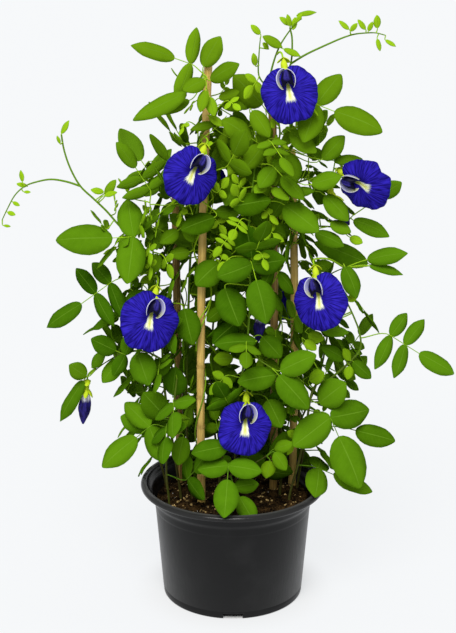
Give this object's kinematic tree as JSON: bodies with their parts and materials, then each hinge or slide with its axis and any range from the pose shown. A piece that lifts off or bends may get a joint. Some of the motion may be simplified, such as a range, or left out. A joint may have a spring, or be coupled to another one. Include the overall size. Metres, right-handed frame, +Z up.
{
  "type": "potted butterfly pea",
  "caption": "Young climbing butterfly pea with pinnate leaves and broad violet-blue blooms, grown up bamboo canes in a round nursery pot.",
  "frame": {"origin": "centre of the pot's underside", "axes": "+Z up along the pot's axis; -Y towards the side that shows best; +X to the right of it"},
  "size_m": [0.4011, 0.1964, 0.5369],
  "materials": {
    "pot": "dark grey satin plastic",
    "soil": "moist dark brown potting mix, coarse and crumbly",
    "cane": "tan bamboo, lightly weathered",
    "leaf": "mid green, soft sheen, paler veins",
    "petal": "violet-blue velvety petal with a yellow-white throat",
    "bud": "dark navy rolled petal"
  },
  "bodies": {
    "root": {"pot": "pot", "soil": "soil", "cane_front_left": "cane", "cane_back_left": "cane", "cane_centre_right": "cane", "cane_right": "cane", "vine_left": "leaf", "vine_left_low": "leaf", "vine_cane_left": "leaf", "vine_middle": "leaf", "vine_front_low": "leaf", "vine_cane_middle": "leaf", "vine_cane_right": "leaf", "vine_right": "leaf", "vine_cane_back": "leaf", "vine_back_left": "leaf", "vine_back_right": "leaf", "vine_side_left": "leaf", "vine_side_right": "leaf", "bloom_1": "petal", "bloom_2": "petal", "bloom_3": "petal", "bloom_4": "petal", "bloom_5": "petal", "bloom_6": "petal", "bloom_7": "petal", "bloom_8": "petal", "closed_bloom_1": "bud", "closed_bloom_2": "bud", "closed_bloom_3": "bud"}
  },
  "joints": []
}
